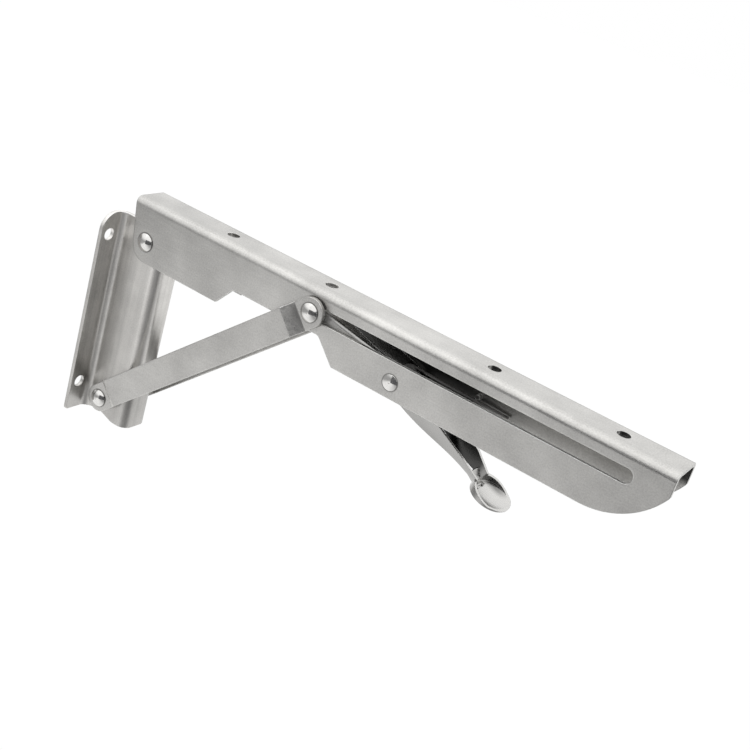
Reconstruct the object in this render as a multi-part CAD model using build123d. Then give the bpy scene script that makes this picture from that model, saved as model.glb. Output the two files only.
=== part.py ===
from build123d import *
from math import asin, atan2, cos, degrees, hypot, radians, sin
import os

# All sizes are in millimetres. X points out of the wall, Y runs across the bracket and Z is up.
# The origin is the middle of the wall plate's four screw holes, on its back face.

# Wall plate: a pressed hat section with a flange on each side.
PLATE_HEIGHT = 114.0
PLATE_WIDTH = 46.0
PLATE_DEPTH = 32.1
PLATE_SHEET = 2.0
PLATE_INNER_BEND = 3.6
PLATE_TOP_CORNER = 9.5
PLATE_BOTTOM_CORNER = 3.0
HAT_WIDTH = 18.4
HAT_FOOT_RISE = 1.2
HAT_FOOT_FALL = 1.4
HAT_FOOT_CURVE = 5.0
HAT_FOOT_TURNS = (0.12, 0.26, 0.45, 0.7)
WALL_HOLE_DIAMETER = 6.5
WALL_HOLE_SIDE_EDGE = 5.75
WALL_HOLE_TOP_EDGE = 12.0
WALL_HOLE_FOOT_EDGE = 16.0

# Arm: a channel folded down on both sides. Its sizes are taken from the arm's pivot.
ARM_PIVOT_SETBACK = 10.6
ARM_PIVOT_DROP = 9.0
ARM_LENGTH = 305.0
ARM_BACK_REACH = 11.5
ARM_RISE = 21.0
ARM_SHEET = 2.0
ARM_INNER_BEND = 2.0
ARM_BACK_LEAN = 8.0
ARM_BACK_CORNER = 9.5
ARM_REAR_DROP = 10.8
ARM_REAR_LENGTH = 50.6
ARM_NOTCH_DROP = 0.45
ARM_NOTCH_START = 59.4
ARM_NOTCH_END = 112.6
ARM_NOTCH_CORNER = 3.5
ARM_FRONT_DROP = 12.0
ARM_FRONT_START = 124.0
ARM_NOSE_LENGTH = 35.5
ARM_NOSE_RISE = 21.6
ARM_NOSE_CORNER = 2.0
SHELF_HOLE_DIAMETER = 6.5
SHELF_HOLES_FROM_PIVOT = (44.0, 106.0)
SHELF_HOLES_FROM_FRONT = (95.5, 30.5)

# Slot in both walls of the arm, where the strut's upper end slides.
SLOT_HEIGHT = 7.3
SLOT_RISE = 9.4
SLOT_START = 106.5
SLOT_FRONT_EDGE = 20.85

# Strut: two joggled bars from the wall plate's foot to the slot.
STRUT_FOOT_SETBACK = 16.7
STRUT_FOOT_RAISE = 11.5
STRUT_WIDTH = 15.0
STRUT_SHEET = 2.0
STRUT_STANDOFF = 1.1
STRUT_JOGGLE = 2.4
FOOT_TAB = 7.4
FOOT_JOGGLE_RUN = 3.0
TOP_TAB = 6.0
TOP_JOGGLE_RUN = 8.0
JOGGLE_BEND = 1.5

# Release lever: a pressed lever with a nose that locks the slot and a spoon for the thumb.
LEVER_X = 156.1
LEVER_DROP = 4.3
LEVER_SHEET = 1.5
NOSE_END = 111.0
NOSE_RISE = 11.4
NOSE_FOOT = 1.0
NOSE_WEB_END = 144.0
NOSE_WEB_RISE = 5.5
NOSE_BEND = 2.0
NOSE_CUT_APEX = 118.0
NOSE_CUT_HALF = 6.0
LEVER_CROWN = 0.8
LEVER_CROWN_RUN = 4.0
LEVER_BACK = 165.5
LEVER_BACK_DROP = 2.2
LEVER_FOOT_DROP = 12.6
LEVER_FOOT_LENGTH = 8.0
LEVER_FOOT_RAISE = 2.0
LEVER_FOOT_RUN = 6.0
TAIL_START = 168.0
TAIL_TOP_FALL = 0.56
TAIL_FOOT_FALL = 0.415
TAIL_FOOT_END = 200.0
NECK_X = 211.0
NECK_TOP_X = 201.0
NECK_TOP_FALL = 0.8
NECK_TOP_HALF = 7.0
NECK_FOOT_HALF = 4.0
NECK_WEB_X = 205.3
NECK_WEB_DROP = 27.9
NECK_WEB_RUN = 4.2
NECK_WEB_FALL = 5.5
SPOON_X = 216.6
SPOON_DROP = 35.3
SPOON_TILT = 14.8
SPOON_HALF_LENGTH = 10.4
SPOON_HALF_WIDTH = 11.5
SPOON_DEPTH = 1.6
SPOON_EDGE = 0.8
SPOON_COLLAR = 4.1
SPOON_COLLAR_START = 4.7

# Rivets, sleeves and washers.
RIVET_SHANK = 6.0
RIVET_HEAD = 9.4
RIVET_DOME = 2.4
LEVER_RIVET_SHANK = 5.0
LEVER_RIVET_HEAD = 8.0
LEVER_RIVET_DOME = 1.0
SLEEVE_WALL = 1.6
SPACER_WALL = 1.9
BUSH_FLANGE_R = 5.2
WASHER = 0.6
WASHER_WALL = 2.6
FIT = 0.05
SIDE_GAP = 0.3

# Torsion spring on the lever's sleeve.
WIRE = 1.2
SPRING_TURNS = 5
SPRING_PITCH = 1.35
SPRING_LONG_LEG = 53.0
SPRING_LEG_FALL = 1.7
SPRING_SHORT_LEG = 40.0
SPRING_LEG_Y = 8.0
SPRING_LUG_X = 192.0
SPRING_LUG_R = 1.3

# Dependent sizes.
WALL_HOLE_SPACING_Y = PLATE_WIDTH - 2 * WALL_HOLE_SIDE_EDGE
WALL_HOLE_SPACING_Z = PLATE_HEIGHT - WALL_HOLE_TOP_EDGE - WALL_HOLE_FOOT_EDGE
PIVOT_X = PLATE_DEPTH - ARM_PIVOT_SETBACK
PLATE_TOP = WALL_HOLE_SPACING_Z / 2 + WALL_HOLE_TOP_EDGE
PLATE_FOOT = PLATE_TOP - PLATE_HEIGHT
PIVOT_Z = PLATE_TOP - ARM_PIVOT_DROP
HAT_OUTER = HAT_WIDTH / 2
HAT_INNER = HAT_OUTER - PLATE_SHEET
ARM_INNER = HAT_OUTER + SIDE_GAP
ARM_OUTER = ARM_INNER + ARM_SHEET
ARM_FRONT = ARM_LENGTH - ARM_BACK_REACH
SLOT_END = ARM_FRONT - SLOT_FRONT_EDGE
STRUT_INNER = ARM_OUTER + STRUT_STANDOFF
STRUT_OUTER = STRUT_INNER + STRUT_SHEET
LEVER_OUTER = ARM_INNER - SIDE_GAP
LEVER_INNER = LEVER_OUTER - LEVER_SHEET
FOOT_X = ARM_PIVOT_SETBACK - STRUT_FOOT_SETBACK
STRUT_FOOT_DROP = PLATE_HEIGHT - ARM_PIVOT_DROP - STRUT_FOOT_RAISE
STRUT_RUN = SLOT_START - FOOT_X
STRUT_CLIMB = SLOT_RISE + STRUT_FOOT_DROP
STRUT_LENGTH = hypot(STRUT_RUN, STRUT_CLIMB)
STRUT_ANGLE = degrees(atan2(STRUT_CLIMB, STRUT_RUN))
SHANK_R = RIVET_SHANK / 2
LEVER_SHANK_R = LEVER_RIVET_SHANK / 2
COIL_R = LEVER_SHANK_R + SLEEVE_WALL + SIDE_GAP + WIRE / 2
COIL_END_Y = LEVER_INNER - WASHER - SIDE_GAP - WIRE / 2
COIL_START_Y = COIL_END_Y - SPRING_TURNS * SPRING_PITCH


def box_between(low, high):
    """A box between two opposite corners."""
    size = [high[axis] - low[axis] for axis in range(3)]
    centre = [(high[axis] + low[axis]) / 2 for axis in range(3)]
    return Pos(*centre) * Box(*size)


def side_slab(points, half_width, rounds=()):
    """A side outline of X and Z points, made as wide as the given half width on both sides."""
    face = make_face(Polyline(*[(x, z) for x, z in points], close=True))
    for x, z, radius in rounds:
        corner = face.vertices().sort_by_distance((x, z, 0))[0]
        face = fillet(corner, radius)
    return Rot(90, 0, 0) * extrude(face, amount=half_width, both=True)


def cross_pin(radius, half_length):
    """A round bar along Y, centred."""
    return Rot(90, 0, 0) * Cylinder(radius, 2 * half_length)


def cross_tube(inner_radius, outer_radius, low_y, high_y):
    """A tube along Y between two stations."""
    tube = Cylinder(outer_radius, high_y - low_y) - Cylinder(inner_radius, high_y - low_y + 1)
    return Pos(0, (low_y + high_y) / 2, 0) * Rot(90, 0, 0) * tube


def at_pivot(shape):
    """Moves a shape drawn around the arm's pivot to its place on the bracket."""
    return Pos(PIVOT_X, 0, PIVOT_Z) * shape


def rivet_head(diameter, dome):
    """A low domed head along Z, standing on the plane Z = 0."""
    radius = diameter / 2
    edge = 0.2 * dome
    rise = dome - edge
    ball = (radius ** 2 + rise ** 2) / (2 * rise)
    turn = asin(radius / ball) / 2
    shoulder = (ball * sin(turn), dome - ball * (1 - cos(turn)))
    outline = Polyline((0, dome), (0, 0), (radius, 0), (radius, edge))
    crown = ThreePointArc((radius, edge), shoulder, (0, dome))
    return revolve(Plane.XZ * make_face(outline + crown), Axis.Z)


def headed_rivet(shank_radius, half_grip, diameter, dome):
    """A rivet along Y with a domed head at both ends."""
    head = rivet_head(diameter, dome)
    near = Pos(0, -half_grip, 0) * Rot(90, 0, 0) * head
    far = Pos(0, half_grip, 0) * Rot(-90, 0, 0) * head
    return cross_pin(shank_radius, half_grip) + near + far


def hat_section():
    """The wall plate's section seen from above."""
    half = PLATE_WIDTH / 2
    back, front = PLATE_SHEET, PLATE_DEPTH - PLATE_SHEET
    points = [
        (0, -half), (0, -HAT_INNER), (front, -HAT_INNER), (front, HAT_INNER), (0, HAT_INNER), (0, half),
        (back, half), (back, HAT_OUTER), (PLATE_DEPTH, HAT_OUTER), (PLATE_DEPTH, -HAT_OUTER),
        (back, -HAT_OUTER), (back, -half),
    ]
    face = make_face(Polyline(*points, close=True))
    inside = [(front, -HAT_INNER), (front, HAT_INNER), (back, HAT_OUTER), (back, -HAT_OUTER)]
    outside = [(0, -HAT_INNER), (0, HAT_INNER), (PLATE_DEPTH, HAT_OUTER), (PLATE_DEPTH, -HAT_OUTER)]
    for x, y in inside:
        face = fillet(face.vertices().sort_by_distance((x, y, 0))[0], PLATE_INNER_BEND)
    for x, y in outside:
        face = fillet(face.vertices().sort_by_distance((x, y, 0))[0], PLATE_INNER_BEND + PLATE_SHEET)
    return face


def plate_flanges():
    """The plate's outline seen from the front, solid from the wall to the hat's face."""
    half = PLATE_WIDTH / 2
    low = PLATE_FOOT - HAT_FOOT_FALL
    outline = make_face(Polyline((-half, low), (half, low), (half, PLATE_TOP), (-half, PLATE_TOP), close=True))
    for y in (-half, half):
        outline = fillet(outline.vertices().sort_by_distance((y, PLATE_TOP, 0))[0], PLATE_TOP_CORNER)
        outline = fillet(outline.vertices().sort_by_distance((y, low, 0))[0], PLATE_BOTTOM_CORNER)
    return extrude(Plane.YZ * outline, amount=PLATE_DEPTH)


def plate_side():
    """The plate's outline seen from the side, with the gentle wave of its foot edge."""
    high, low = PLATE_FOOT + HAT_FOOT_RISE, PLATE_FOOT - HAT_FOOT_FALL
    wave = [(PLATE_DEPTH * turn, z) for turn, z in zip(HAT_FOOT_TURNS, (PLATE_FOOT, high, high, low))]
    points = [(0, PLATE_TOP), (0, PLATE_FOOT), *wave, (PLATE_DEPTH, low), (PLATE_DEPTH, PLATE_TOP)]
    return side_slab(points, PLATE_WIDTH, [(x, z, HAT_FOOT_CURVE) for x, z in wave])


def wall_plate():
    """The hat section cut to the plate's outlines, with its screw and rivet holes."""
    hat = extrude(Pos(0, 0, PLATE_FOOT - HAT_FOOT_FALL) * hat_section(), amount=PLATE_HEIGHT + HAT_FOOT_FALL)
    plate = hat & plate_flanges() & plate_side()
    for y in (-WALL_HOLE_SPACING_Y / 2, WALL_HOLE_SPACING_Y / 2):
        for z in (-WALL_HOLE_SPACING_Z / 2, WALL_HOLE_SPACING_Z / 2):
            hole = Rot(0, 90, 0) * Cylinder(WALL_HOLE_DIAMETER / 2, 4 * PLATE_SHEET)
            plate -= Pos(0, y, z) * hole
    plate -= at_pivot(cross_pin(SHANK_R, ARM_OUTER))
    plate -= at_pivot(Pos(FOOT_X, 0, -STRUT_FOOT_DROP) * cross_pin(SHANK_R, ARM_OUTER))
    return plate


def arm_walls():
    """The arm's side outline, drawn around its pivot."""
    lean = sin(radians(ARM_BACK_LEAN)) / cos(radians(ARM_BACK_LEAN))
    back_foot = -ARM_BACK_REACH + (ARM_RISE + ARM_REAR_DROP) * lean
    nose_start = ARM_FRONT - ARM_NOSE_LENGTH
    arc_end = ARM_NOSE_RISE - ARM_FRONT_DROP
    nose_radius = (ARM_NOSE_LENGTH ** 2 + ARM_NOSE_RISE ** 2) / (2 * ARM_NOSE_RISE)
    half_turn = atan2(ARM_NOSE_RISE, ARM_NOSE_LENGTH)
    arc_middle = (
        nose_start + nose_radius * sin(half_turn), nose_radius * (1 - cos(half_turn)) - ARM_FRONT_DROP,
    )
    edge = Polyline(
        (nose_start, -ARM_FRONT_DROP), (ARM_FRONT_START, -ARM_FRONT_DROP), (ARM_NOTCH_END, -ARM_NOTCH_DROP),
        (ARM_NOTCH_START, -ARM_NOTCH_DROP), (ARM_REAR_LENGTH, -ARM_REAR_DROP), (back_foot, -ARM_REAR_DROP),
        (-ARM_BACK_REACH, ARM_RISE), (ARM_FRONT, ARM_RISE), (ARM_FRONT, arc_end),
    )
    nose = ThreePointArc((ARM_FRONT, arc_end), arc_middle, (nose_start, -ARM_FRONT_DROP))
    face = make_face(edge + nose)
    rounds = [
        (back_foot, -ARM_REAR_DROP, ARM_BACK_CORNER), (ARM_NOTCH_END, -ARM_NOTCH_DROP, ARM_NOTCH_CORNER),
        (ARM_FRONT, arc_end, ARM_NOSE_CORNER),
    ]
    for x, z, radius in rounds:
        face = fillet(face.vertices().sort_by_distance((x, z, 0))[0], radius)
    return Rot(90, 0, 0) * extrude(face, amount=ARM_OUTER, both=True)


def channel(half_width, sheet, inner_bend, depth, length):
    """A channel along X with its web on top at Z = 0 and its walls hanging down."""
    outer = Pos(0, -depth / 2) * Rectangle(2 * half_width, depth)
    outer = fillet(outer.vertices().group_by(Axis.Y)[-1], inner_bend + sheet)
    inner_depth = depth - sheet
    inner = Pos(0, -sheet - inner_depth / 2) * Rectangle(2 * (half_width - sheet), inner_depth)
    inner = fillet(inner.vertices().group_by(Axis.Y)[-1], inner_bend)
    return extrude(Plane.YZ * (outer - inner), amount=length)


def support_arm():
    """The folded channel with its slots, shelf holes, rivet holes and the spring's lug."""
    depth = ARM_RISE + ARM_FRONT_DROP + ARM_REAR_DROP
    blank = Pos(-ARM_BACK_REACH, 0, ARM_RISE) * channel(ARM_OUTER, ARM_SHEET, ARM_INNER_BEND, depth, ARM_LENGTH)
    arm = blank & arm_walls()
    slot_length = SLOT_END - SLOT_START
    slot = extrude(SlotCenterToCenter(slot_length, SLOT_HEIGHT), amount=2 * ARM_OUTER, both=True)
    arm -= Pos((SLOT_START + SLOT_END) / 2, 0, SLOT_RISE) * Rot(90, 0, 0) * slot
    for x in (*SHELF_HOLES_FROM_PIVOT, *[ARM_FRONT - step for step in SHELF_HOLES_FROM_FRONT]):
        arm -= Pos(x, 0, ARM_RISE) * Cylinder(SHELF_HOLE_DIAMETER / 2, 4 * ARM_SHEET)
    arm -= cross_pin(SHANK_R + FIT, 2 * ARM_OUTER)
    arm -= Pos(LEVER_X, 0, -LEVER_DROP) * cross_pin(LEVER_SHANK_R, 2 * ARM_OUTER)
    leg_x, leg_y, leg_z = long_leg_point(SPRING_LUG_X)
    lug = cross_tube(0, SPRING_LUG_R, leg_y - WIRE / 2, ARM_INNER + ARM_SHEET / 2)
    return at_pivot(arm + Pos(leg_x, 0, leg_z + WIRE / 2 + SPRING_LUG_R) * lug)


def strut_plan(side):
    """The joggled bar seen from above, lying along X from its foot's hole."""
    end = STRUT_WIDTH
    top_tab = STRUT_LENGTH - TOP_TAB
    inner = [
        (-end, STRUT_INNER), (FOOT_TAB, STRUT_INNER), (FOOT_TAB + FOOT_JOGGLE_RUN, STRUT_INNER + STRUT_JOGGLE),
        (top_tab - TOP_JOGGLE_RUN, STRUT_INNER + STRUT_JOGGLE), (top_tab, STRUT_INNER),
        (STRUT_LENGTH + end, STRUT_INNER),
    ]
    outer = [(x, y + STRUT_SHEET) for x, y in reversed(inner)]
    face = make_face(Polyline(*[(x, side * y) for x, y in inner + outer], close=True))
    for x, y in inner[1:5] + outer[1:5]:
        face = fillet(face.vertices().sort_by_distance((x, side * y, 0))[0], JOGGLE_BEND)
    return face


def strut(side):
    """One bar of the strut in its place; side is -1 for the near bar and 1 for the far one."""
    bar = extrude(strut_plan(side), amount=STRUT_WIDTH, both=True)
    outline = extrude(SlotCenterToCenter(STRUT_LENGTH, STRUT_WIDTH), amount=2 * STRUT_OUTER, both=True)
    outline = Rot(90, 0, 0) * outline
    bar &= Pos(STRUT_LENGTH / 2, 0, 0) * outline
    bar -= cross_pin(SHANK_R + FIT, 4 * STRUT_OUTER)
    bar -= Pos(STRUT_LENGTH, 0, 0) * cross_pin(SHANK_R, 4 * STRUT_OUTER)
    return at_pivot(Pos(FOOT_X, 0, -STRUT_FOOT_DROP) * Rot(0, -STRUT_ANGLE, 0) * bar)


def strut_top_rivet(side):
    """The short rivet through one bar's upper end, with its head on the outer face."""
    head = Pos(0, side * STRUT_OUTER, 0) * Rot(-90 * side, 0, 0) * rivet_head(RIVET_HEAD, RIVET_DOME)
    shank = Pos(0, side * (STRUT_INNER + STRUT_OUTER) / 2, 0) * cross_pin(SHANK_R, STRUT_SHEET / 2)
    return at_pivot(Pos(SLOT_START, 0, SLOT_RISE) * (head + shank))


def slot_bush(side):
    """The bush that fills one slot at the strut's upper end, with a flange between arm and strut."""
    outer = STRUT_INNER - FIT
    flange = ARM_OUTER + FIT
    half = (outer - ARM_INNER) / 2
    bush = Pos(0, side * (ARM_INNER + half), 0) * cross_pin(SLOT_HEIGHT / 2 - FIT, half)
    bush += Pos(0, side * (flange + outer) / 2, 0) * cross_pin(BUSH_FLANGE_R, (outer - flange) / 2)
    return at_pivot(Pos(SLOT_START, 0, SLOT_RISE) * bush)


def foot_spacer(side):
    """The washer between the wall plate's side and one bar's foot."""
    low, high = sorted((side * HAT_OUTER, side * (STRUT_INNER - FIT)))
    return at_pivot(Pos(FOOT_X, 0, -STRUT_FOOT_DROP) * cross_tube(SHANK_R, SHANK_R + SPACER_WALL, low, high))


def tail_top(x):
    """Height of the tail's upper edge at a given distance from the arm's pivot."""
    return -LEVER_BACK_DROP - TAIL_TOP_FALL * (x - LEVER_BACK)


def tail_foot(x):
    """Height of the tail's lower edge at a given distance from the arm's pivot."""
    return -LEVER_FOOT_DROP - TAIL_FOOT_FALL * (x - LEVER_X - LEVER_FOOT_RUN)


def neck_web():
    """Upper line of the web that closes the neck, from its lip down into the spoon."""
    lip = (NECK_WEB_X, -NECK_WEB_DROP)
    step = (lip[0] + NECK_WEB_RUN, lip[1] - NECK_WEB_FALL)
    return [lip, step, (SPOON_X - SPOON_HALF_LENGTH / 2, -SPOON_DROP)]


def under_web():
    """Lower line of the same web, one sheet below."""
    turn = atan2(NECK_WEB_FALL, NECK_WEB_RUN)
    return [(x - LEVER_SHEET * sin(turn), z - LEVER_SHEET * cos(turn)) for x, z in neck_web()]


def lever_outline():
    """The lever's side outline from the nose to the neck."""
    lip, step, end = under_web()
    foot = (lip[0], tail_foot(lip[0]))
    points = [
        (NOSE_END, NOSE_RISE), (NOSE_WEB_END, NOSE_WEB_RISE), (LEVER_X + LEVER_CROWN_RUN, LEVER_CROWN),
        (LEVER_BACK, -LEVER_BACK_DROP), (NECK_TOP_X, tail_top(NECK_TOP_X)),
        (NECK_X, tail_top(NECK_TOP_X) - NECK_TOP_FALL * (NECK_X - NECK_TOP_X)), (NECK_X, end[1]), step, foot,
        (LEVER_X + LEVER_FOOT_RUN, -LEVER_FOOT_DROP),
        (LEVER_X - LEVER_FOOT_LENGTH, LEVER_FOOT_RAISE - LEVER_FOOT_DROP), (NOSE_END, NOSE_FOOT),
    ]
    return side_slab(points, LEVER_OUTER)


def tail_form(inset):
    """The tail as a solid wedge whose sides lean in towards the neck, drawn in by the given inset."""
    sections = []
    for share in (0, 0.2, 0.4, 0.6, 0.8, 1):
        x = TAIL_START + share * (NECK_X - TAIL_START)
        top = LEVER_OUTER - (LEVER_OUTER - NECK_TOP_HALF) * share ** 4
        foot_share = min(1, (x - TAIL_START) / (TAIL_FOOT_END - TAIL_START))
        foot = LEVER_OUTER - (LEVER_OUTER - NECK_FOOT_HALF) * foot_share ** 2 * (3 - 2 * foot_share)
        high, low = tail_top(x), tail_foot(x)
        lean = LEVER_SHEET * (top - foot) / (high - low)
        top, foot = top + lean - inset, foot - lean - inset
        high, low = high + LEVER_SHEET, low - LEVER_SHEET
        quad = make_face(Polyline((-foot, low), (foot, low), (top, high), (-top, high), close=True))
        sections.append(Pos(x, 0, 0) * (Plane.YZ * quad))
    return loft(sections)


def lever_walls():
    """Both side walls of the lever, upright around the rivet and leaning along the tail."""
    reach = SPOON_DROP + NOSE_RISE
    outside = box_between((NOSE_END, -LEVER_OUTER, -reach), (TAIL_START, LEVER_OUTER, reach))
    inside = box_between((NOSE_END, -LEVER_INNER, -reach), (TAIL_START, LEVER_INNER, reach))
    tail = tail_form(0) - tail_form(LEVER_SHEET)
    return (outside - inside + tail) & lever_outline()


def along_nose(shape):
    """Lays a shape drawn along X on the nose's sloping top, starting at its tip."""
    slope = degrees(atan2(NOSE_RISE - NOSE_WEB_RISE, NOSE_WEB_END - NOSE_END))
    return Pos(NOSE_END, 0, NOSE_RISE) * Rot(0, slope, 0) * shape


def nose_channel():
    """The folded nose of the lever, its web cut to a V from behind."""
    length = 2 * (NOSE_WEB_END - NOSE_END)
    fold = channel(LEVER_OUTER, LEVER_SHEET, NOSE_BEND - LEVER_SHEET, NOSE_RISE, length)
    fold = along_nose(Pos(-length / 4, 0, 0) * fold)
    fold &= box_between((NOSE_END, -LEVER_OUTER, -NOSE_RISE), (NOSE_WEB_END, LEVER_OUTER, 2 * NOSE_RISE))
    elbow = (NOSE_CUT_APEX + NOSE_CUT_HALF, 0.3 * LEVER_INNER)
    cut = make_face(Polyline(
        (NOSE_CUT_APEX, 0), (elbow[0], elbow[1]), (NOSE_WEB_END + 1, LEVER_OUTER - NOSE_BEND),
        (NOSE_WEB_END + 1, NOSE_BEND - LEVER_OUTER), (elbow[0], -elbow[1]), close=True,
    ))
    return fold - extrude(cut, amount=2 * NOSE_RISE)


def spoon():
    """The thumb pad: a shallow oval dish with a collar that rises towards the neck."""
    inside = SPOON_HALF_WIDTH - LEVER_SHEET
    top = ThreePointArc((0, -SPOON_DEPTH), (0.62 * inside, -0.62 * SPOON_DEPTH), (inside, 0))
    rim = Polyline((inside, 0), (SPOON_HALF_WIDTH, 0), (SPOON_HALF_WIDTH, -SPOON_EDGE))
    foot = -SPOON_DEPTH - LEVER_SHEET
    middle = (0.66 * SPOON_HALF_WIDTH, 0.62 * (foot + SPOON_EDGE) - SPOON_EDGE)
    under = ThreePointArc((SPOON_HALF_WIDTH, -SPOON_EDGE), middle, (0, foot))
    axis = Line((0, foot), (0, -SPOON_DEPTH))
    bowl = revolve(Plane.XZ * make_face(top + rim + under + axis), Axis.Z)
    collar = Circle(SPOON_HALF_WIDTH) - Circle(inside)
    collar = Pos(0, 0, -SPOON_DEPTH / 4) * extrude(collar, amount=SPOON_COLLAR + SPOON_DEPTH / 4)
    ramp = side_slab([
        (SPOON_COLLAR_START, -SPOON_DEPTH), (SPOON_COLLAR_START, 0), (-SPOON_HALF_WIDTH, SPOON_COLLAR),
        (-SPOON_HALF_WIDTH, -SPOON_DEPTH),
    ], SPOON_HALF_WIDTH)
    pad = scale(bowl + (collar & ramp), by=(SPOON_HALF_LENGTH / SPOON_HALF_WIDTH, 1, 1))
    return Pos(SPOON_X, 0, -SPOON_DROP) * Rot(0, SPOON_TILT, 0) * pad


def neck_space():
    """The open trough of the neck, above its web and between its walls."""
    web = neck_web()
    high = -LEVER_BACK_DROP
    above = side_slab([*web, (web[-1][0], high), (web[0][0], high)], LEVER_OUTER)
    return tail_form(LEVER_SHEET) & above


def spoon_space():
    """The room over the spoon inside its collar."""
    room = extrude(Circle(SPOON_HALF_WIDTH - LEVER_SHEET), amount=2 * SPOON_COLLAR)
    room = scale(room, by=(SPOON_HALF_LENGTH / SPOON_HALF_WIDTH, 1, 1))
    return Pos(SPOON_X, 0, -SPOON_DROP) * Rot(0, SPOON_TILT, 0) * room


def release_lever():
    """Nose, two walls that close in, a neck web and the spoon, in one piece."""
    outline = lever_outline()
    nose_length = hypot(NOSE_RISE - NOSE_WEB_RISE, NOSE_WEB_END - NOSE_END)
    fold = box_between((-NOSE_BEND, -LEVER_OUTER, -NOSE_BEND), (nose_length, LEVER_OUTER, NOSE_BEND))
    walls = lever_walls() - along_nose(fold)
    web = side_slab([*neck_web(), *reversed(under_web())], LEVER_OUTER) & tail_form(0)
    lever = (walls + web - spoon_space()) + (spoon() - neck_space()) + (nose_channel() & outline)
    lever -= Pos(LEVER_X, 0, -LEVER_DROP) * cross_pin(LEVER_SHANK_R + FIT, 2 * LEVER_OUTER)
    return at_pivot(lever)


def lever_washer(side):
    """The washer between one wall of the lever and the sleeve."""
    low, high = sorted((side * (LEVER_INNER - FIT), side * (LEVER_INNER - WASHER)))
    washer = cross_tube(LEVER_SHANK_R, LEVER_SHANK_R + WASHER_WALL, low, high)
    return at_pivot(Pos(LEVER_X, 0, -LEVER_DROP) * washer)


def long_leg_point(x):
    """Centre of the spring's long leg at a given distance from the arm's pivot."""
    share = (x - LEVER_X) / SPRING_LONG_LEG
    start_z = COIL_R - LEVER_DROP
    return x, COIL_END_Y + share * (SPRING_LEG_Y - COIL_END_Y), start_z - share * SPRING_LEG_FALL


def rod(start, end):
    """A straight piece of wire with rounded ends."""
    path = Line(start, end)
    profile = Plane(origin=start, z_dir=path % 0) * Circle(WIRE / 2)
    return sweep(profile, path=path) + Pos(*start) * Sphere(WIRE / 2)


def lever_spring():
    """The torsion spring: a coil on the sleeve with a leg on the arm's lug and one under the nose."""
    path = Helix(pitch=SPRING_PITCH, height=SPRING_TURNS * SPRING_PITCH, radius=COIL_R)
    coil = sweep(Plane(origin=path @ 0, z_dir=path % 0) * Circle(WIRE / 2), path=path)
    coil = Pos(LEVER_X, COIL_START_Y, -LEVER_DROP) * Rot(0, -90, 0) * Rot(-90, 0, 0) * coil
    top = COIL_R - LEVER_DROP
    long_leg = rod((LEVER_X, COIL_END_Y, top), long_leg_point(LEVER_X + SPRING_LONG_LEG))
    slope = (NOSE_RISE - NOSE_WEB_RISE) / (NOSE_WEB_END - NOSE_END)
    tip_x = LEVER_X - SPRING_SHORT_LEG
    web_foot = NOSE_RISE - slope * (tip_x - NOSE_END) - LEVER_SHEET * (1 + slope * slope) ** 0.5
    short_leg = rod((LEVER_X, COIL_START_Y, top), (tip_x, COIL_START_Y, web_foot - WIRE / 2 - FIT))
    return at_pivot(coil + long_leg + short_leg)


def build():
    """Every piece of the bracket by name."""
    foot = Pos(FOOT_X, 0, -STRUT_FOOT_DROP)
    lever = Pos(LEVER_X, 0, -LEVER_DROP)
    sleeve_half = LEVER_INNER - WASHER
    foot_rivet = headed_rivet(SHANK_R, STRUT_OUTER + FIT, RIVET_HEAD, RIVET_DOME)
    lever_rivet = headed_rivet(LEVER_SHANK_R, ARM_OUTER, LEVER_RIVET_HEAD, LEVER_RIVET_DOME)
    lever_sleeve = cross_tube(LEVER_SHANK_R, LEVER_SHANK_R + SLEEVE_WALL, -sleeve_half, sleeve_half)
    plate_sleeve = cross_tube(SHANK_R, SHANK_R + SLEEVE_WALL, -HAT_INNER, HAT_INNER)
    pieces = {
        "wall_plate": wall_plate(),
        "support_arm": support_arm(),
        "release_lever": release_lever(),
        "lever_spring": lever_spring(),
        "arm_pivot_rivet": at_pivot(headed_rivet(SHANK_R, ARM_OUTER + FIT, RIVET_HEAD, RIVET_DOME)),
        "arm_pivot_sleeve": at_pivot(plate_sleeve),
        "strut_foot_rivet": at_pivot(foot * foot_rivet),
        "strut_foot_sleeve": at_pivot(foot * plate_sleeve),
        "lever_pivot_rivet": at_pivot(lever * lever_rivet),
        "lever_pivot_sleeve": at_pivot(lever * lever_sleeve),
    }
    for name, side in (("near", -1), ("far", 1)):
        pieces["strut_" + name] = strut(side)
        pieces["strut_top_rivet_" + name] = strut_top_rivet(side)
        pieces["slot_bush_" + name] = slot_bush(side)
        pieces["foot_spacer_" + name] = foot_spacer(side)
        pieces["lever_pivot_washer_" + name] = lever_washer(side)
    return pieces


os.makedirs("parts", exist_ok=True)
for piece_name, piece in build().items():
    export_step(piece, "parts/" + piece_name + ".step")
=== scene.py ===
import math

import bpy
from mathutils import Matrix, Vector

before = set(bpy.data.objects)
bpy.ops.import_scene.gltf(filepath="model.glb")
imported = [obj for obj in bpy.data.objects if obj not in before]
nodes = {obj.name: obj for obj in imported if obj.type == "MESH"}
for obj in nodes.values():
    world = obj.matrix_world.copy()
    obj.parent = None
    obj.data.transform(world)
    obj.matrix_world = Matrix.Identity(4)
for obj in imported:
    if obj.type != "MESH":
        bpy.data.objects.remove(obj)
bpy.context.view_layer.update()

# Noise scales that draw the lines of a brushed sheet out along one axis.
ALONG_X = (60, 1100, 1100)
ALONG_Z = (260, 260, 10)
ALONG_STRUT = (150, 900, 500)
ALONG_LEVER = (90, 700, 700)
SPECKLE_SCALE = (1300, 1300, 1300)
BLOTCH_SCALE = (34, 34, 34)
BLOTCH_SHIFT = (3.1, 0.7, 1.9)
MARKS_SCALE = (700, 700, 700)

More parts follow.
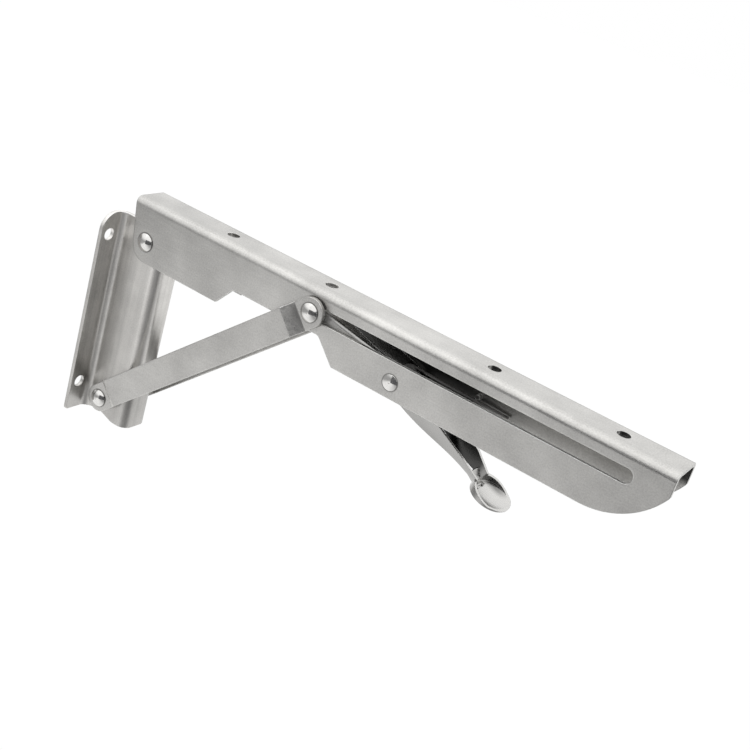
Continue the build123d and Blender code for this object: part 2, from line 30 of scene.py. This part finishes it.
# Rivet axes, X and Z in metres.
ARM_PIVOT = (0.0215, 0.046)
LEVER_PIVOT = (0.1776, 0.0417)
STRUT_TOP = (0.128, 0.0554)
STRUT_FOOT = (0.0154, -0.0475)

BRIGHTEST = 0.95
BEVEL_SAMPLES = 6
SHEARED_EDGE = 0.0007
FINE_EDGE = 0.0003
SHEET_RELIEF = 0.0004
TURNED_RELIEF = 0.0002
TURNED_BUMP = 0.05

FLOOR_SIZE = 12
FLOOR_Z = -0.42
FLOOR_GREY = 0.85
CARD_COLOUR = (0.14, 0.14, 0.145, 1)
POOL_X = -0.22
CAMERA_WHITE = 1.02
CAMERA_SHARE = 0.92

SENSOR_WIDTH = 36.0
FOCAL_PIXELS = 1230.967
PHOTO_WIDTH = 750
CAMERA_PLACE = (0.403180, -0.480832, 0.264724)
CAMERA_RIGHT = (0.8025119, 0.53022055, 0.2735705)
CAMERA_DOWN = (0.43287363, -0.20187498, -0.87855957)
CAMERA_FORWARD = (-0.4106033, 0.82347596, -0.39152557)


def new_material(name):
    """An empty node material and its tree."""
    material = bpy.data.materials.new(name)
    material.use_nodes = True
    material.node_tree.nodes.clear()
    return material, material.node_tree


def link(tree, source, target):
    """Join two sockets."""
    tree.links.new(source, target)


def math_node(tree, operation, *values):
    """One math node; a value is a number or a socket."""
    node = tree.nodes.new("ShaderNodeMath")
    node.operation = operation
    for slot, value in enumerate(values):
        if isinstance(value, (int, float)):
            node.inputs[slot].default_value = value
        else:
            link(tree, value, node.inputs[slot])
    return node.outputs[0]


def vector_node(tree, operation, first, second=None):
    """One vector math node on a socket; the second value is three numbers or a socket."""
    node = tree.nodes.new("ShaderNodeVectorMath")
    node.operation = operation
    link(tree, first, node.inputs[0])
    if isinstance(second, tuple):
        node.inputs[1].default_value = second
    elif second is not None:
        link(tree, second, node.inputs[1])
    return node.outputs


def blend_toward(tree, factor, level):
    """1 where the factor is 0, and the level where it is 1."""
    step = math_node(tree, "SUBTRACT", level, 1.0)
    return math_node(tree, "MULTIPLY_ADD", factor, step, 1.0)


def stretched_noise(tree, coordinates, stretch, detail=4.0, roughness=0.6, shift=(0, 0, 0)):
    """Noise drawn out along one direction, like the lines of a brushed sheet."""
    mapping = tree.nodes.new("ShaderNodeMapping")
    mapping.inputs["Scale"].default_value = stretch
    mapping.inputs["Location"].default_value = shift
    noise = tree.nodes.new("ShaderNodeTexNoise")
    noise.inputs["Scale"].default_value = 1.0
    noise.inputs["Detail"].default_value = detail
    noise.inputs["Roughness"].default_value = roughness
    link(tree, coordinates, mapping.inputs["Vector"])
    link(tree, mapping.outputs["Vector"], noise.inputs["Vector"])
    return noise.outputs["Fac"]


def ramp(tree, factor, low, high, start=0.3, end=0.7, smooth=False):
    """A value from low to high as the factor goes from start to end."""
    node = tree.nodes.new("ShaderNodeMapRange")
    if smooth:
        node.interpolation_type = "SMOOTHSTEP"
    node.inputs["From Min"].default_value = start
    node.inputs["From Max"].default_value = end
    node.inputs["To Min"].default_value = low
    node.inputs["To Max"].default_value = high
    link(tree, factor, node.inputs["Value"])
    return node.outputs["Result"]


def mixed_colour(tree, factor, first, second):
    """Two colours, each a socket or three numbers, mixed by the factor."""
    node = tree.nodes.new("ShaderNodeMix")
    node.data_type = "RGBA"
    for slot, colour in (("A", first), ("B", second)):
        if isinstance(colour, tuple):
            node.inputs[slot].default_value = (*colour, 1)
        else:
            link(tree, colour, node.inputs[slot])
    link(tree, factor, node.inputs["Factor"])
    return node.outputs["Result"]


def parts_of(tree, vector):
    """The three parts of a vector."""
    node = tree.nodes.new("ShaderNodeSeparateXYZ")
    link(tree, vector, node.inputs["Vector"])
    return node.outputs


def soft_ring(tree, place, centre, start, end, level):
    """A ramp round a rivet's axis, from the level at the start radius to 1 at the end; used as
    painted contact shadow, it darkens from a head's rim outward.
    """
    offset = vector_node(tree, "SUBTRACT", place, (centre[0], 0, centre[1]))["Vector"]
    flat = vector_node(tree, "MULTIPLY", offset, (1, 0, 1))["Vector"]
    length = vector_node(tree, "LENGTH", flat)["Value"]
    return ramp(tree, length, level, 1.0, start, end, True)


def darkened(tree, paint, shade):
    """The paint multiplied by a grey shade."""
    spread = tree.nodes.new("ShaderNodeCombineColor")
    for slot in ("Red", "Green", "Blue"):
        link(tree, shade, spread.inputs[slot])
    full = tree.nodes.new("ShaderNodeMix")
    full.data_type = "RGBA"
    full.blend_type = "MULTIPLY"
    full.inputs["Factor"].default_value = 1.0
    link(tree, paint, full.inputs["A"])
    link(tree, spread.outputs["Color"], full.inputs["B"])
    return full.outputs["Result"]


def inner_faces(tree, place, facing):
    """1 on the faces that look into the fold of the sheet or down from its web, 0 outside."""
    inward = math_node(tree, "MULTIPLY", parts_of(tree, place)["Y"], parts_of(tree, facing)["Y"])
    walls = ramp(tree, inward, 1.0, 0.0, -0.0018, -0.0006)
    under = ramp(tree, parts_of(tree, facing)["Z"], 1.0, 0.0, -0.9, -0.5)
    return math_node(tree, "MAXIMUM", walls, under)


def rounded_edges(tree, radius):
    """Normals that are rounded near edges."""
    bevel = tree.nodes.new("ShaderNodeBevel")
    bevel.samples = BEVEL_SAMPLES
    bevel.inputs["Radius"].default_value = radius
    return bevel.outputs["Normal"]


def worn_edges(tree, rounded):
    """1 at the edges where the sheet was sheared, 0 on its faces."""
    flat = tree.nodes.new("ShaderNodeNewGeometry").outputs["Normal"]
    same = vector_node(tree, "DOT_PRODUCT", rounded, flat)["Value"]
    return ramp(tree, same, 1.0, 0.0, 0.80, 0.965)


def metal_shader(tree):
    """A metallic shader joined to the material's output."""
    output = tree.nodes.new("ShaderNodeOutputMaterial")
    shader = tree.nodes.new("ShaderNodeBsdfPrincipled")
    shader.inputs["Metallic"].default_value = 1.0
    link(tree, shader.outputs["BSDF"], output.inputs["Surface"])
    return shader


def add_relief(tree, shader, height, strength, distance, rounded):
    """Fine relief over the rounded normals."""
    relief = tree.nodes.new("ShaderNodeBump")
    relief.inputs["Strength"].default_value = strength
    relief.inputs["Distance"].default_value = distance
    link(tree, height, relief.inputs["Height"])
    link(tree, rounded, relief.inputs["Normal"])
    link(tree, relief.outputs["Normal"], shader.inputs["Normal"])


def sheet_steel(
    name, colour, stretch, roughness, lines, grain, clouds, contrast, bump,
    inside, rings=(), matte=None, edge=SHEARED_EDGE,
):
    """Stainless sheet: fine drawn lines, a pickled grain, soft blotches and a painted highlight
    along its sheared edges.
    """
    material, tree = new_material(name)
    shader = metal_shader(tree)
    source = tree.nodes.new("ShaderNodeTexCoord")
    place, facing = source.outputs["Object"], source.outputs["Normal"]
    drawn = stretched_noise(tree, place, stretch, 5.0, 0.6)
    speckle = stretched_noise(tree, place, SPECKLE_SCALE, 3.0, 0.65)
    blotch = stretched_noise(tree, place, BLOTCH_SCALE, 3.0, 0.55, BLOTCH_SHIFT)
    tone = math_node(tree, "MULTIPLY_ADD", ramp(tree, drawn, -0.5, 0.5), lines, 0.5)
    tone = math_node(tree, "MULTIPLY_ADD", ramp(tree, speckle, -0.5, 0.5), grain, tone)
    cloud = ramp(tree, blotch, -0.5, 0.5, 0.25, 0.75)
    tone = math_node(tree, "MULTIPLY_ADD", cloud, clouds, tone)
    dark = tuple(channel * (1 - contrast) for channel in colour)
    light = tuple(min(BRIGHTEST, channel * (1 + contrast)) for channel in colour)
    paint = mixed_colour(tree, tone, dark, light)
    rounded = rounded_edges(tree, edge)
    # Painted highlight along the sheared edges: a paler copy of the colour is mixed in there.
    bright = tuple(min(BRIGHTEST, channel * 1.6) for channel in colour)
    rubbed = math_node(tree, "MULTIPLY", worn_edges(tree, rounded), 0.8)
    paint = mixed_colour(tree, rubbed, paint, bright)
    if matte is not None:
        link(tree, matte(tree, place), shader.inputs["Metallic"])
    # Painted shade and light from the part's own pattern, multiplied into the colour.
    paint = darkened(tree, paint, inside(tree, place, facing))
    # Painted contact shadow round each listed rivet head.
    for centre, start, end, level in rings:
        paint = darkened(tree, paint, soft_ring(tree, place, centre, start, end, level))
    link(tree, paint, shader.inputs["Base Color"])
    gloss = ramp(tree, drawn, roughness - 0.04, roughness + 0.05)
    link(tree, gloss, shader.inputs["Roughness"])
    height = math_node(tree, "ADD", drawn, speckle)
    add_relief(tree, shader, height, bump, SHEET_RELIEF, rounded)
    return material


def turned_steel(name, colour, roughness, contrast=0.12):
    """Bright turned metal with faint handling marks."""
    material, tree = new_material(name)
    shader = metal_shader(tree)
    place = tree.nodes.new("ShaderNodeTexCoord").outputs["Object"]
    marks = stretched_noise(tree, place, MARKS_SCALE, 4.0, 0.6)
    dark = tuple(channel * (1 - contrast) for channel in colour)
    paint = mixed_colour(tree, ramp(tree, marks, 0.0, 1.0), dark, colour)
    link(tree, paint, shader.inputs["Base Color"])
    gloss = ramp(tree, marks, roughness - 0.03, roughness + 0.06)
    link(tree, gloss, shader.inputs["Roughness"])
    rounded = rounded_edges(tree, FINE_EDGE)
    add_relief(tree, shader, marks, TURNED_BUMP, TURNED_RELIEF, rounded)
    return material


def inside_arm(tree, place, facing):
    """Painted shade inside the channel, paler where the slot and the open nose let light in."""
    spot = parts_of(tree, place)
    front = ramp(tree, spot["X"], 0.14, 0.92, 0.188, 0.245, True)
    low = ramp(tree, spot["Z"], 1.0, 0.0, 0.054, 0.058, True)
    gain = math_node(tree, "SUBTRACT", front, 0.14)
    level = math_node(tree, "MULTIPLY_ADD", low, gain, 0.14)
    rear = ramp(tree, spot["X"], 0.95, 0.0, 0.14, 0.155)
    level = math_node(tree, "MAXIMUM", level, rear)
    return blend_toward(tree, inner_faces(tree, place, facing), level)


def cleaner_sides(tree, place, facing):
    """Painted light and shade on the plate: paler toward its top and on its flanges and side
    walls, darker low down.
    """
    spot = parts_of(tree, place)
    off_centre = math_node(tree, "ABSOLUTE", spot["Y"])
    side = ramp(tree, off_centre, 1.0, 1.17, 0.008, 0.0095, True)
    return math_node(tree, "MULTIPLY", side, ramp(tree, spot["Z"], 0.92, 1.35, -0.045, 0.05))


def stained_joggle(tree, place, facing):
    """The slope beside the strut's upper rivet, dark at the rivet and paler toward the bar:
    partly a brown stain, partly painted shade and light in place of softer bends.
    """
    tilt = math_node(tree, "ABSOLUTE", parts_of(tree, facing)["Y"])
    slope = math_node(
        tree, "MULTIPLY",
        ramp(tree, tilt, 0.0, 1.0, 0.4, 0.6),
        ramp(tree, tilt, 1.0, 0.0, 0.93, 0.99),
    )
    tone = soft_ring(tree, place, STRUT_TOP, 0.0065, 0.0130, 0.45)
    gain = math_node(tree, "MULTIPLY_ADD", tone, 1.6, -1.0)
    return math_node(tree, "MULTIPLY_ADD", slope, gain, 1.0)


def lever_slant(tree, place):
    """X + 2 Z, which rises across the lever's nose along its slanting edge."""
    spot = parts_of(tree, place)
    return math_node(tree, "MULTIPLY_ADD", spot["Z"], 2.0, spot["X"])


def dull_nose(tree, place):
    """Metal all over but for a bloom on the top of the lever's nose, inside the arm."""
    return ramp(tree, lever_slant(tree, place), 0.25, 1.0, 0.248, 0.251)


def inside_lever(tree, place, facing):
    """Painted shade inside the lever, paler from its neck to its tip, and painted shade on its
    outer sides.
    """
    spot = parts_of(tree, place)
    neck = ramp(tree, spot["X"], 0.12, 0.42, 0.2265, 0.2300, True)
    tip = ramp(tree, spot["X"], 0.0, 0.58, 0.2370, 0.2455, True)
    nose = ramp(tree, lever_slant(tree, place), 0.9, 0.0, 0.2388, 0.2402)
    level = math_node(tree, "MAXIMUM", math_node(tree, "ADD", neck, tip), nose)
    inner = blend_toward(tree, inner_faces(tree, place, facing), level)
    outward = math_node(tree, "MULTIPLY", spot["Y"], parts_of(tree, facing)["Y"])
    return math_node(tree, "MULTIPLY", inner, ramp(tree, outward, 1.0, 0.7, 0.0015, 0.0045, True))


def dress(material, *names):
    """Give the named nodes one material."""
    for name in names:
        mesh = nodes[name].data
        mesh.materials.clear()
        mesh.materials.append(material)


arm_steel = sheet_steel(
    "arm_steel", (0.605, 0.597, 0.578), ALONG_X, roughness=0.34,
    lines=0.25, grain=0.6, clouds=0.8, contrast=0.22, bump=0.06, inside=inside_arm,
    # Painted contact shadow round the arm's two rivet heads.
    rings=((ARM_PIVOT, 0.0048, 0.0056, 0.35), (LEVER_PIVOT, 0.0041, 0.0048, 0.35)),
)
plate_steel = sheet_steel(
    "plate_steel", (0.52, 0.51, 0.492), ALONG_Z, roughness=0.33,
    lines=0.6, grain=0.4, clouds=0.9, contrast=0.22, bump=0.05, inside=cleaner_sides,
)
strut_steel = sheet_steel(
    "strut_steel", (0.57, 0.562, 0.544), ALONG_STRUT, roughness=0.34,
    lines=0.35, grain=0.6, clouds=0.7, contrast=0.22, bump=0.06, inside=stained_joggle,
    # Painted contact shadow round the strut's two rivet heads.
    rings=((STRUT_TOP, 0.0048, 0.0055, 0.4), (STRUT_FOOT, 0.0048, 0.0055, 0.4)),
)
lever_steel = sheet_steel(
    "lever_steel", (0.62, 0.613, 0.597), ALONG_LEVER, roughness=0.25,
    lines=0.3, grain=0.15, clouds=0.7, contrast=0.14, bump=0.012, inside=inside_lever,
    matte=dull_nose, edge=FINE_EDGE,
)
rivet_steel = turned_steel("rivet_steel", (0.82, 0.81, 0.79), 0.10)
bush_steel = turned_steel("bush_steel", (0.48, 0.47, 0.46), 0.3)
wire_steel = turned_steel("wire_steel", (0.18, 0.175, 0.17), 0.35)

dress(arm_steel, "support_arm")
dress(plate_steel, "wall_plate")
dress(strut_steel, "strut_near", "strut_far")
dress(lever_steel, "release_lever")
dress(
    rivet_steel, "arm_pivot_rivet", "strut_foot_rivet",
    "strut_top_rivet_near", "strut_top_rivet_far", "lever_pivot_rivet",
)
dress(
    bush_steel, "slot_bush_near", "slot_bush_far",
    "arm_pivot_sleeve", "strut_foot_sleeve", "lever_pivot_sleeve",
    "foot_spacer_near", "foot_spacer_far",
    "lever_pivot_washer_near", "lever_pivot_washer_far",
)
dress(wire_steel, "lever_spring")


def backdrop_material():
    """White to the camera, a bright pool with darker sides in reflections, and a pale floor."""
    material, tree = new_material("backdrop_white")
    output = tree.nodes.new("ShaderNodeOutputMaterial")
    pale = tree.nodes.new("ShaderNodeBsdfDiffuse")
    pale.inputs["Color"].default_value = (FLOOR_GREY, FLOOR_GREY, FLOOR_GREY, 1)
    white = tree.nodes.new("ShaderNodeEmission")
    path = tree.nodes.new("ShaderNodeLightPath")
    place = parts_of(tree, tree.nodes.new("ShaderNodeTexCoord").outputs["Object"])
    aside = math_node(tree, "ABSOLUTE", math_node(tree, "ADD", place["X"], -POOL_X))
    pool = ramp(tree, aside, 1.03, 0.39, 0.1, 0.8, True)
    behind = ramp(tree, place["Y"], 0.0, 1.0, -0.3, 0.3, True)
    gain = math_node(tree, "SUBTRACT", 0.97, pool)
    level = math_node(tree, "MULTIPLY_ADD", behind, gain, pool)
    seen_white = math_node(tree, "MULTIPLY", path.outputs["Is Camera Ray"], CAMERA_WHITE)
    level = math_node(tree, "MAXIMUM", seen_white, level)
    link(tree, level, white.inputs["Strength"])
    mirrored = math_node(
        tree, "MAXIMUM", path.outputs["Is Glossy Ray"], path.outputs["Is Transmission Ray"],
    )
    seen = math_node(
        tree, "MULTIPLY_ADD", path.outputs["Is Camera Ray"], CAMERA_SHARE, mirrored,
    )
    mix = tree.nodes.new("ShaderNodeMixShader")
    link(tree, seen, mix.inputs["Fac"])
    link(tree, pale.outputs["BSDF"], mix.inputs[1])
    link(tree, white.outputs["Emission"], mix.inputs[2])
    link(tree, mix.outputs["Shader"], output.inputs["Surface"])
    return material


def add_floor():
    """The floor, well below the bracket."""
    bpy.ops.mesh.primitive_plane_add(size=FLOOR_SIZE, location=(0, 0, FLOOR_Z))
    floor = bpy.context.object
    floor.name = "floor"
    floor.data.materials.append(backdrop_material())


def add_flags():
    """Dark cards beside the object that give polished metal something to mirror."""
    material, tree = new_material("dark_card")
    output = tree.nodes.new("ShaderNodeOutputMaterial")
    card = tree.nodes.new("ShaderNodeBsdfDiffuse")
    card.inputs["Color"].default_value = CARD_COLOUR
    link(tree, card.outputs["BSDF"], output.inputs["Surface"])
    upright = math.pi / 2
    places = (
        ("dark_flag_front", (0.42, -0.85, 0.03), (upright, 0, 0), (1.05, 0.55, 1)),
        ("dark_flag_right", (0.95, -0.6, 0.05), (upright, 0, math.pi / 2), (0.7, 0.9, 1)),
    )
    for name, location, rotation, scale in places:
        bpy.ops.mesh.primitive_plane_add(size=1, location=location, rotation=rotation)
        flag = bpy.context.object
        flag.name = name
        flag.scale = scale
        flag.data.materials.append(material)
        flag.visible_camera = False


def add_world():
    """White behind the object, and a soft room that is brighter overhead."""
    world = bpy.data.worlds.new("studio")
    bpy.context.scene.world = world
    world.use_nodes = True
    tree = world.node_tree
    tree.nodes.clear()
    output = tree.nodes.new("ShaderNodeOutputWorld")
    room = tree.nodes.new("ShaderNodeBackground")
    white = tree.nodes.new("ShaderNodeBackground")
    white.inputs["Color"].default_value = (1, 1, 1, 1)
    height = parts_of(tree, tree.nodes.new("ShaderNodeTexCoord").outputs["Generated"])["Z"]
    low = ramp(tree, height, 0.48, 1.38, 0.0, 0.35)
    high = ramp(tree, height, 0.0, 0.14, 0.4, 0.9)
    link(tree, math_node(tree, "ADD", low, high), room.inputs["Strength"])
    path = tree.nodes.new("ShaderNodeLightPath")
    mix = tree.nodes.new("ShaderNodeMixShader")
    link(tree, path.outputs["Is Camera Ray"], mix.inputs["Fac"])
    link(tree, room.outputs["Background"], mix.inputs[1])
    link(tree, white.outputs["Background"], mix.inputs[2])
    link(tree, mix.outputs["Shader"], output.inputs["Surface"])


def add_area(name, location, target, width, height, power):
    """A rectangular lamp that faces the target."""
    light = bpy.data.lights.new(name, "AREA")
    light.shape = "RECTANGLE"
    light.size = width
    light.size_y = height
    light.energy = power
    lamp = bpy.data.objects.new(name, light)
    bpy.context.collection.objects.link(lamp)
    lamp.location = location
    aim = Vector(target) - Vector(location)
    lamp.rotation_euler = aim.to_track_quat("-Z", "Y").to_euler()


def add_camera():
    """The photograph's camera, from its fitted place, direction and lens."""
    data = bpy.data.cameras.new("camera")
    data.sensor_width = SENSOR_WIDTH
    data.lens = SENSOR_WIDTH * FOCAL_PIXELS / PHOTO_WIDTH
    data.clip_start = 0.01
    camera = bpy.data.objects.new("camera", data)
    bpy.context.collection.objects.link(camera)
    axes = (Vector(CAMERA_RIGHT), -Vector(CAMERA_DOWN), -Vector(CAMERA_FORWARD))
    turn = Matrix(axes).transposed().to_4x4()
    camera.matrix_world = Matrix.Translation(CAMERA_PLACE) @ turn
    bpy.context.scene.camera = camera


add_floor()
add_flags()
add_world()
add_area("overhead", (-0.3, -0.25, 1.0), (0.12, 0, 0), 0.9, 0.9, 0.6)
add_camera()
bpy.context.scene.view_settings.view_transform = "Standard"
